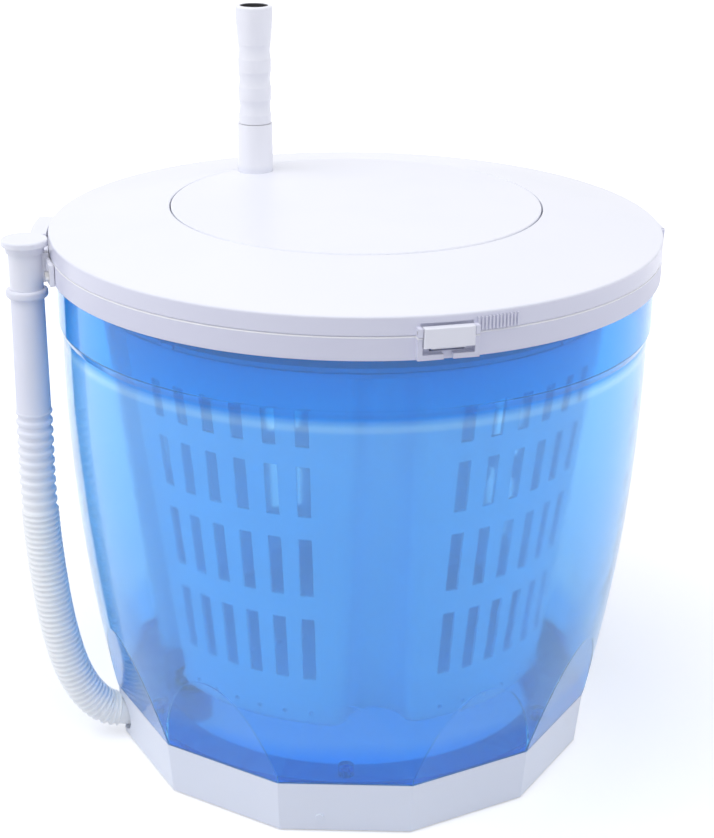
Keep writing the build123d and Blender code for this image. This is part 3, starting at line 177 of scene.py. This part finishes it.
def addPaintedPatch(tree, coords, spot):
    # how far a point lies in a patch of painted light or shade: past a height, or near an upright axis
    split = addNode(tree, "ShaderNodeSeparateXYZ", (-900, 650))
    if "axis" in spot:
        moved = addNode(tree, "ShaderNodeVectorMath", (-1100, 650), operation="SUBTRACT")
        tree.links.new(coords, moved.inputs[0])
        moved.inputs[1].default_value = (*spot["axis"], 0)
        tree.links.new(moved.outputs[0], split.inputs[0])
        square = addMath(tree, "MULTIPLY", (-700, 650), split.outputs["X"], split.outputs["X"])
        square = addMath(tree, "MULTIPLY_ADD", (-550, 650), split.outputs["Y"], split.outputs["Y"], square)
        value = addMath(tree, "SQRT", (-400, 650), square)
    else:
        tree.links.new(coords, split.inputs[0])
        value = split.outputs["Z"]
    return addRange(tree, value, (-250, 650), *spot["rise"], 0.0, 1.0)


def addColour(tree, coords, shader, softNormal, look):
    # slow drift of colour, paler worn edges, then the patches of painted light and shade
    drift = addNoise(tree, coords, (-900, 400), look["driftScale"], 3.0)
    share = addRange(tree, drift, (-650, 400), *finishRules["driftSpan"], 0.0, 1.0)
    body = addMix(tree, share, (-400, 400), look["colour"], look["drift"])
    facing = addNode(tree, "ShaderNodeNewGeometry", (-900, 150)).outputs["Normal"]
    turned = addNode(tree, "ShaderNodeVectorMath", (-650, 150), operation="DOT_PRODUCT")
    tree.links.new(facing, turned.inputs[0])
    tree.links.new(softNormal, turned.inputs[1])
    edge = addRange(tree, turned.outputs["Value"], (-450, 150), *finishRules["edgeTurn"], 0.0, 1.0)
    noise = addNoise(tree, coords, (-650, 0), look["wearScale"], 2.0)
    broken = addRange(tree, noise, (-450, 0), *finishRules["wearSpan"], finishRules["wearLeast"], 1.0)
    worn = addMath(tree, "MULTIPLY", (-250, 150), edge, broken)
    colour = addMix(tree, worn, (0, 300), body, look["worn"])
    for spot in look.get("paintedShading", ()):
        colour = addMix(tree, addPaintedPatch(tree, coords, spot), (150, 300), colour, spot["colour"])
    tree.links.new(colour, shader.inputs["Base Color"])


def mouldedPlastic(name, look):
    material, tree, coords, shader, output = startFinish(name)
    softNormal = addSurface(tree, coords, shader, look)
    addColour(tree, coords, shader, softNormal, look)
    shader.inputs["IOR"].default_value = look["ior"]
    shader.inputs["Coat Weight"].default_value = look.get("coat", 0.0)
    shader.inputs["Coat Roughness"].default_value = finishRules["coatRoughness"]
    return material


def metalFinish(name, look):
    material, tree, coords, shader, output = startFinish(name)
    softNormal = addSurface(tree, coords, shader, look)
    addColour(tree, coords, shader, softNormal, look)
    shader.inputs["Metallic"].default_value = 1.0
    return material


def clearPlastic(name, look):
    # tinted see-through wall that lets the lamps in
    material, tree, coords, shader, output = startFinish(name)
    softNormal = addSurface(tree, coords, shader, look)
    addColour(tree, coords, shader, softNormal, look)
    shader.inputs["IOR"].default_value = look["ior"]
    shader.inputs["Transmission Weight"].default_value = look["clear"]
    lamps = addNode(tree, "ShaderNodeLightPath", (300, 400))
    passing = addNode(tree, "ShaderNodeBsdfTransparent", (300, -600))
    passing.inputs["Color"].default_value = (*look["lampTint"], 1)
    either = addNode(tree, "ShaderNodeMixShader", (650, 0))
    tree.links.new(lamps.outputs["Is Shadow Ray"], either.inputs[0])
    tree.links.new(shader.outputs[0], either.inputs[1])
    tree.links.new(passing.outputs[0], either.inputs[2])
    tree.links.new(either.outputs[0], output.inputs["Surface"])
    return material


# each span of roughness stays on one side of 0.27, where the denoiser's guides change
plasticBase = {
    "edge": 0.0005, "waveScale": 14, "waveDepth": 0.0001, "grainScale": 900, "grainDepth": 0.000003,
    "rubScale": 35, "roughness": (0.285, 0.35), "driftScale": 9, "wearScale": 160, "ior": 1.5,
}
whiteGloss = {
    **plasticBase,
    "waveDepth": 0.00005, "grainDepth": 0.000001,
    "colour": (0.87, 0.88, 0.95), "drift": (0.85, 0.865, 0.94), "worn": (0.92, 0.925, 0.97), "coat": 0.15,
}
lidLook = {
    **whiteGloss,
    # painted shade: the lid's upright skirt below the deck is coloured darker and bluer
    "paintedShading": [{"rise": (0.3245, 0.3225), "colour": (0.745, 0.755, 0.875)}],
}
crankLook = {
    **whiteGloss,
    # painted light: the top face of the crank disc is coloured brighter than the rest
    "paintedShading": [{"rise": (0.338, 0.341), "colour": (0.93, 0.935, 0.985)}],
}
whiteSatin = {
    **plasticBase,
    "roughness": (0.32, 0.45),
    "colour": (0.84, 0.85, 0.93), "drift": (0.82, 0.835, 0.92), "worn": (0.9, 0.905, 0.96),
}
rimLook = {
    **whiteSatin,
    # painted shade: the upright rim ring's colour is a darker, bluer copy of the white plastic
    "colour": (0.72, 0.73, 0.855), "drift": (0.705, 0.715, 0.845), "worn": (0.9, 0.905, 0.96),
    # painted highlight: a bright line along the chamfered seam at the ring's top edge
    "paintedShading": [{"rise": (0.3128, 0.3131), "colour": (0.97, 0.975, 1.0)}],
}
baseLook = {
    **whiteSatin,
    "colour": (0.87, 0.91, 1.0), "drift": (0.855, 0.9, 0.99), "worn": (0.92, 0.95, 1.0),
}
basketLook = {
    **plasticBase,
    "roughness": (0.285, 0.37), "waveDepth": 0.0003, "clear": 0.45, "lampTint": (0.7, 0.86, 0.97),
    "colour": (0.44, 0.78, 0.99), "drift": (0.42, 0.76, 0.98), "worn": (0.75, 0.9, 0.99),
}
tubLook = {
    **plasticBase,
    "roughness": (0.06, 0.1), "waveScale": 20, "waveDepth": 0.0002, "grainDepth": 0.000002, "clear": 0.9,
    "colour": (0.37, 0.7, 0.98), "drift": (0.35, 0.685, 0.975), "worn": (0.5, 0.78, 0.99),
    "lampTint": (0.62, 0.84, 0.99), "ior": 1.49,
    "paintedShading": [
        # painted highlight: a pale line along the lower edge of the tub's neck
        {"rise": (0.259, 0.2605), "colour": (0.6, 0.85, 1.0)},
        # painted shade: the neck band above the neck line, up to the rim, is a deeper blue
        {"rise": (0.2625, 0.267), "colour": (0.03, 0.47, 0.93)},
        # painted shade: the tub's lowest part, below about 5 cm, is a deeper, more saturated blue
        {"rise": (0.066, 0.052), "colour": (0.1, 0.54, 0.99)},
    ],
}
gripLook = {
    **whiteGloss,
    "colour": (0.91, 0.915, 0.97), "drift": (0.89, 0.9, 0.96),
    # painted shade: the white grip is near black inside its top hole, round its axis
    "paintedShading": [{"axis": (-0.06374, 0.07179), "rise": (0.0087, 0.0083), "colour": (0.06, 0.06, 0.065)}],
}
hoseLook = {
    **plasticBase,
    "edge": 0.0002, "roughness": (0.4, 0.52), "ior": 1.45,
    "colour": (0.88, 0.9, 0.99), "drift": (0.86, 0.88, 0.98), "worn": (0.93, 0.95, 1.0),
    # painted light: the lower part of the hose, near the floor, is coloured brighter
    "paintedShading": [{"rise": (0.23, 0.15), "colour": (0.97, 0.99, 1.0)}],
}
gearLook = {
    **plasticBase,
    "roughness": (0.4, 0.55),
    "colour": (0.82, 0.8, 0.74), "drift": (0.78, 0.76, 0.69), "worn": (0.88, 0.87, 0.82),
}
bushLook = {
    **plasticBase,
    "roughness": (0.45, 0.6),
    "colour": (0.68, 0.64, 0.55), "drift": (0.63, 0.59, 0.5), "worn": (0.76, 0.73, 0.66),
}
rubberLook = {
    **plasticBase,
    "roughness": (0.6, 0.78), "grainDepth": 0.00004, "ior": 1.4,
    "colour": (0.42, 0.43, 0.46), "drift": (0.37, 0.38, 0.41), "worn": (0.52, 0.53, 0.55),
}
steelLook = {
    **plasticBase,
    "edge": 0.0003, "waveDepth": 0.00005, "grainStretch": (1, 1, 6), "grainDepth": 0.00002,
    "roughness": (0.285, 0.4), "driftScale": 60, "wearScale": 300,
    "colour": (0.62, 0.62, 0.63), "drift": (0.55, 0.55, 0.57), "worn": (0.74, 0.74, 0.74),
}
finishes = {
    "lidPlastic": (mouldedPlastic, lidLook, "lid_shell"),
    "crankPlastic": (mouldedPlastic, crankLook, "crank_disc"),
    "latchPlastic": (mouldedPlastic, whiteGloss, "front_latch side_latch hose_cap hose_bracket"),
    "rimPlastic": (mouldedPlastic, rimLook, "tub_rim"),
    "casePlastic": (mouldedPlastic, whiteSatin, "inner_shell drain_elbow hose_end_fitting"),
    "basePlastic": (mouldedPlastic, baseLook, "base_ring base_plug"),
    "gripPlastic": (mouldedPlastic, gripLook, "handle_grip"),
    "tubPlastic": (clearPlastic, tubLook, "outer_tub drain_nut"),
    "basketPlastic": (clearPlastic, basketLook, "basket basket_cover"),
    "gearPlastic": (mouldedPlastic, gearLook, "ring_gear planet_gear_1 planet_gear_2 planet_gear_3 sun_gear"),
    "bushPlastic": (mouldedPlastic, bushLook, "hub_bush basket_bush"),
    "softRubber": (mouldedPlastic, rubberLook, "rubber_feet lid_gasket drain_seal"),
    "brightSteel": (
        metalFinish, steelLook, "base_screws pivot_pin hose_clamp bracket_screws hinge_pin inner_shell_screws "
        "planet_pins planet_clips latch_pins ring_gear_screws handle_spindle spindle_nut grip_washer grip_screw "
        "drive_shaft cover_screw"),
}
for name, (maker, look, wearers) in finishes.items():
    material = maker(name, look)
    for node in wearers.split():
        for slot in nodes[node].material_slots:
            slot.material = material
hosePlastic = mouldedPlastic("hosePlastic", hoseLook)
print("finishes given")

# drain hose, a ribbed tube that hangs from its cap down to the base
hoseRoute = [
    (-0.18478, -0.04951, 0.291), (-0.18478, -0.04951, 0.222), (-0.18526, -0.04964, 0.157),
    (-0.18062, -0.0484, 0.098), (-0.17502, -0.0469, 0.064), (-0.16884, -0.04524, 0.043),
    (-0.15986, -0.04283, 0.027), (-0.1473, -0.03947, 0.0162), (-0.11977, -0.03209, 0.0162),
]
hoseSizes = {
    "Rings": 1100, "Sides": 40, "Bore": 0.008, "Cuff Top": 0.0096, "Cuff Foot": 0.0101, "Cuff Length": 0.069,
    "Coarse Pitch": 0.0063, "Coarse Ribs": 10.0, "Coarse Crest": 0.0107,
    "Fine Pitch": 0.0035, "Fine Ribs": 44.0, "Fine Crest": 0.0111, "Rib Depth": 0.0013, "Plain End": 0.0098,
}
ribShape = [(0.0, 1.0), (0.15, 0.95), (0.36, 0.04), (0.52, 0.0), (0.68, 0.04), (0.89, 0.95), (1.0, 1.0)]
mergeDistance = 0.00001


def addRibs(tree, along, first, pitch, crest, depth, place):
    # radius of a row of ribs, with its first rib's start taken off
    x, y = place
    turns = addMath(tree, "DIVIDE", (x, y), addMath(tree, "SUBTRACT", (x - 150, y), along, first), pitch)
    shape = addNode(tree, "ShaderNodeFloatCurve", (x + 300, y))
    curve = shape.mapping.curves[0]
    curve.points[0].location = ribShape[0]
    curve.points[-1].location = ribShape[-1]
    for point in ribShape[1:-1]:
        curve.points.new(*point)
    shape.mapping.update()
    tree.links.new(addMath(tree, "FRACT", (x + 150, y), turns), shape.inputs["Value"])
    dip = addMath(tree, "SUBTRACT", (x + 600, y), 1.0, shape.outputs[0])
    return addMath(tree, "SUBTRACT", (x + 900, y), crest, addMath(tree, "MULTIPLY", (x + 750, y), dip, depth))


def pick(tree, test, no, yes, place):
    node = addNode(tree, "GeometryNodeSwitch", place, input_type="FLOAT")
    for socket, value in zip(node.inputs, (test, no, yes)):
        tree.links.new(value, socket)
    return node.outputs[0]


def ribbedHose():
    kinds = {"Rings": "NodeSocketInt", "Sides": "NodeSocketInt"}
    inputs = [(label, kinds.get(label, "NodeSocketFloat")) for label in hoseSizes]
    tree, start, end = newSetup("ribbedHose", [*inputs, ("Finish", "NodeSocketMaterial")])
    size = start.outputs
    link = tree.links.new
    line = addNode(tree, "GeometryNodeMeshToCurve", (-950, 200))
    link(size["Geometry"], line.inputs["Mesh"])
    even = addNode(tree, "GeometryNodeResampleCurve", (-750, 200))
    link(line.outputs[0], even.inputs["Curve"])
    link(size["Rings"], even.inputs["Count"])
    along = addNode(tree, "GeometryNodeSplineParameter", (-950, -300)).outputs["Length"]
    share = addMath(tree, "DIVIDE", (-750, -300), along, size["Cuff Length"], clamp=True)
    wider = addMath(tree, "SUBTRACT", (-750, -450), size["Cuff Foot"], size["Cuff Top"])
    cuff = addMath(tree, "MULTIPLY_ADD", (-550, -300), share, wider, size["Cuff Top"])
    coarseRun = addMath(tree, "MULTIPLY", (-750, -600), size["Coarse Pitch"], size["Coarse Ribs"])
    coarseEnd = addMath(tree, "ADD", (-550, -600), size["Cuff Length"], coarseRun)
    fineRun = addMath(tree, "MULTIPLY", (-750, -750), size["Fine Pitch"], size["Fine Ribs"])
    fineEnd = addMath(tree, "ADD", (-550, -750), coarseEnd, fineRun)
    coarse = addRibs(
        tree, along, size["Cuff Length"], size["Coarse Pitch"], size["Coarse Crest"], size["Rib Depth"], (-300, -600))
    fine = addRibs(tree, along, coarseEnd, size["Fine Pitch"], size["Fine Crest"], size["Rib Depth"], (-300, -900))
    pastCuff = addMath(tree, "GREATER_THAN", (700, -300), along, size["Cuff Length"])
    pastCoarse = addMath(tree, "GREATER_THAN", (700, -500), along, coarseEnd)
    pastFine = addMath(tree, "GREATER_THAN", (700, -700), along, fineEnd)
    radius = pick(tree, pastCuff, cuff, coarse, (900, -300))
    radius = pick(tree, pastCoarse, radius, fine, (1050, -400))
    radius = pick(tree, pastFine, radius, size["Plain End"], (1200, -500))
    ends = addNode(tree, "GeometryNodeCurveEndpointSelection", (1050, -700)).outputs[0]
    radius = pick(tree, ends, radius, size["Bore"], (1350, -500))
    ring = addNode(tree, "GeometryNodeCurvePrimitiveCircle", (-750, 450))
    ring.inputs["Radius"].default_value = 1.0
    link(size["Sides"], ring.inputs["Resolution"])
    outside = addNode(tree, "GeometryNodeCurveToMesh", (-250, 200))
    link(even.outputs[0], outside.inputs["Curve"])
    link(ring.outputs[0], outside.inputs["Profile Curve"])
    link(radius, outside.inputs["Scale"])
    inside = addNode(tree, "GeometryNodeCurveToMesh", (-250, 0))
    link(even.outputs[0], inside.inputs["Curve"])
    link(ring.outputs[0], inside.inputs["Profile Curve"])
    link(size["Bore"], inside.inputs["Scale"])
    turned = addNode(tree, "GeometryNodeFlipFaces", (-50, 0))
    link(inside.outputs[0], turned.inputs[0])
    joined = addNode(tree, "GeometryNodeJoinGeometry", (150, 200))
    link(turned.outputs[0], joined.inputs[0])
    link(outside.outputs[0], joined.inputs[0])
    merged = addNode(tree, "GeometryNodeMergeByDistance", (350, 200))
    merged.inputs["Distance"].default_value = mergeDistance
    link(joined.outputs[0], merged.inputs["Geometry"])
    smooth = addNode(tree, "GeometryNodeSetShadeSmooth", (550, 200))
    link(merged.outputs[0], smooth.inputs["Geometry"])
    real = addNode(tree, "GeometryNodeRealizeInstances", (750, 200))
    link(smooth.outputs[0], real.inputs[0])
    finish = addNode(tree, "GeometryNodeSetMaterial", (950, 200))
    link(real.outputs[0], finish.inputs["Geometry"])
    link(size["Finish"], finish.inputs["Material"])
    link(finish.outputs[0], end.inputs[0])
    return tree


routeCurve = bpy.data.curves.new("hoseRoute", "CURVE")
routeCurve.dimensions = "3D"
spline = routeCurve.splines.new("NURBS")
spline.points.add(len(hoseRoute) - 1)
for point, place in zip(spline.points, hoseRoute):
    point.co = (*place, 1)
spline.order_u = 3
spline.use_endpoint_u = True
spline.resolution_u = 24
routeLine = bpy.data.objects.new("hoseRoute", routeCurve)
scene.collection.objects.link(routeLine)
bpy.context.view_layer.update()
lineMesh = bpy.data.meshes.new_from_object(routeLine.evaluated_get(bpy.context.evaluated_depsgraph_get()))
lineHolder = bpy.data.objects.new("hoseLine", lineMesh)
scene.collection.objects.link(lineHolder)
hoseMesh = runSetup(lineHolder, ribbedHose(), {**hoseSizes, "Finish": hosePlastic})
bpy.data.objects.remove(lineHolder)
bpy.data.objects.remove(routeLine)
hose = bpy.data.objects.new("ribbed_hose", hoseMesh)
scene.collection.objects.link(hose)
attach(hose, "root")
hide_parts("drain_hose")
print("hose made,", len(hoseMesh.polygons), "faces")

# floor, world and lamps of a plain white studio
studio = {
    "floorReach": 8.0, "floorColour": (0.8, 0.8, 0.82),
    "liftNear": 0.4, "liftFar": 0.85, "nearReach": 0.3, "farReach": 1.1, "underReach": 0.11, "underFade": 0.02,
    # painted light: the floor under the base glows brighter, to be seen through the tub
    "paintedGlowUnderBase": 0.55, "floorDrop": 0.0001,
    "ambient": (0.86, 0.885, 1.0), "ambientStrength": 0.42, "throughStrength": 2.1, "throughFloor": 2.5,
}
lamps = {
    "topLamp": {"place": (-0.4, -0.6, 2.3), "size": 2.4, "power": 38.0, "colour": (1.0, 0.99, 0.97)},
    "leftLamp": {"place": (-2.0, -0.1, 0.9), "size": 1.4, "power": 9.0, "colour": (1.0, 1.0, 1.0)},
    "rightLamp": {"place": (2.0, 0.1, 0.9), "size": 1.4, "power": 9.0, "colour": (1.0, 1.0, 1.0)},
}
reach = studio["floorReach"]
corners = [(-reach, -reach), (reach, -reach), (reach, reach), (-reach, reach)]
floorMesh = bpy.data.meshes.new("studioFloor")
floorMesh.from_pydata([(*corner, -studio["floorDrop"]) for corner in corners], [], [(0, 1, 2, 3)])
floor = bpy.data.objects.new("studioFloor", floorMesh)
scene.collection.objects.link(floor)


def addSeen(tree, place):
    # 1 where the camera, a reflection or clear plastic looks at it
    path = addNode(tree, "ShaderNodeLightPath", place)
    x, y = place
    first = addMath(
        tree, "MAXIMUM", (x + 200, y), path.outputs["Is Camera Ray"], path.outputs["Is Glossy Ray"])
    return addMath(tree, "MAXIMUM", (x + 400, y), first, path.outputs["Is Transmission Ray"])


def addInward(tree, place, strength):
    # light that reaches the inside through the clear tub, as strong as the studio's lamps
    x, y = place
    path = addNode(tree, "ShaderNodeLightPath", place)
    once = addMath(tree, "MINIMUM", (x + 200, y), path.outputs["Diffuse Depth"], 1.0)
    inward = addMath(tree, "MULTIPLY", (x + 400, y), path.outputs["Is Transmission Ray"], once)
    return addMath(tree, "MULTIPLY_ADD", (x + 600, y), inward, strength - 1.0, 1.0)


floorFinish = bpy.data.materials.new("studioFloor")
floorFinish.use_nodes = True
tree = floorFinish.node_tree
tree.nodes.clear()
matt = addNode(tree, "ShaderNodeBsdfDiffuse", (0, 0))
matt.inputs["Color"].default_value = (*studio["floorColour"], 1)
glow = addNode(tree, "ShaderNodeEmission", (0, -200))
glow.inputs["Color"].default_value = (1, 1, 1, 1)
away = addNode(tree, "ShaderNodeVectorMath", (-1000, -500), operation="LENGTH")
tree.links.new(addNode(tree, "ShaderNodeTexCoord", (-1200, -500)).outputs["Object"], away.inputs[0])
lift = addRange(
    tree, away.outputs["Value"], (-800, -500), studio["nearReach"], studio["farReach"], studio["liftNear"],
    studio["liftFar"])
# painted light: a brighter glowing patch of floor under the base
under = addRange(
    tree, away.outputs["Value"], (-800, -800), studio["underReach"], studio["underReach"] + studio["underFade"],
    studio["paintedGlowUnderBase"] - studio["liftNear"], 0.0)
lift = addMath(tree, "ADD", (-500, -500), lift, under)
# painted light: the floor's glow is stronger again for light that reaches the inside of the tub
lift = addMath(tree, "MULTIPLY", (-350, -500), lift, addInward(tree, (-1200, -1000), studio["throughFloor"]))
tree.links.new(addMath(tree, "MULTIPLY", (-200, -200), addSeen(tree, (-800, -200)), lift), glow.inputs["Strength"])
both = addNode(tree, "ShaderNodeAddShader", (250, 0))
tree.links.new(matt.outputs[0], both.inputs[0])
tree.links.new(glow.outputs[0], both.inputs[1])
tree.links.new(both.outputs[0], addNode(tree, "ShaderNodeOutputMaterial", (450, 0)).inputs["Surface"])
floorMesh.materials.append(floorFinish)

world = bpy.data.worlds.new("whiteStudio")
scene.world = world
world.use_nodes = True
tree = world.node_tree
tree.nodes.clear()
lit = addNode(tree, "ShaderNodeBackground", (0, 0))
lit.inputs["Color"].default_value = (*studio["ambient"], 1)
lit.inputs["Strength"].default_value = studio["ambientStrength"]
white = addNode(tree, "ShaderNodeBackground", (0, -200))
white.inputs["Color"].default_value = (1, 1, 1, 1)
either = addNode(tree, "ShaderNodeMixShader", (250, 0))
tree.links.new(addSeen(tree, (-800, 200)), either.inputs[0])
tree.links.new(lit.outputs[0], either.inputs[1])
tree.links.new(white.outputs[0], either.inputs[2])
tree.links.new(either.outputs[0], addNode(tree, "ShaderNodeOutputWorld", (450, 0)).inputs["Surface"])
tree.links.new(addInward(tree, (-900, -300), studio["throughStrength"]), white.inputs["Strength"])

lampTarget = mathutils.Vector((0, 0, 0.2))
for name, size in lamps.items():
    data = bpy.data.lights.new(name, "AREA")
    data.size = size["size"]
    data.energy = size["power"]
    data.color = size["colour"]
    lamp = bpy.data.objects.new(name, data)
    lamp.location = size["place"]
    lamp.rotation_euler = (lamp.location - lampTarget).to_track_quat("Z", "Y").to_euler()
    lamp.visible_camera = False
    lamp.visible_glossy = False
    lamp.visible_transmission = False
    scene.collection.objects.link(lamp)
scene.view_settings.view_transform = "Standard"
print("studio set")
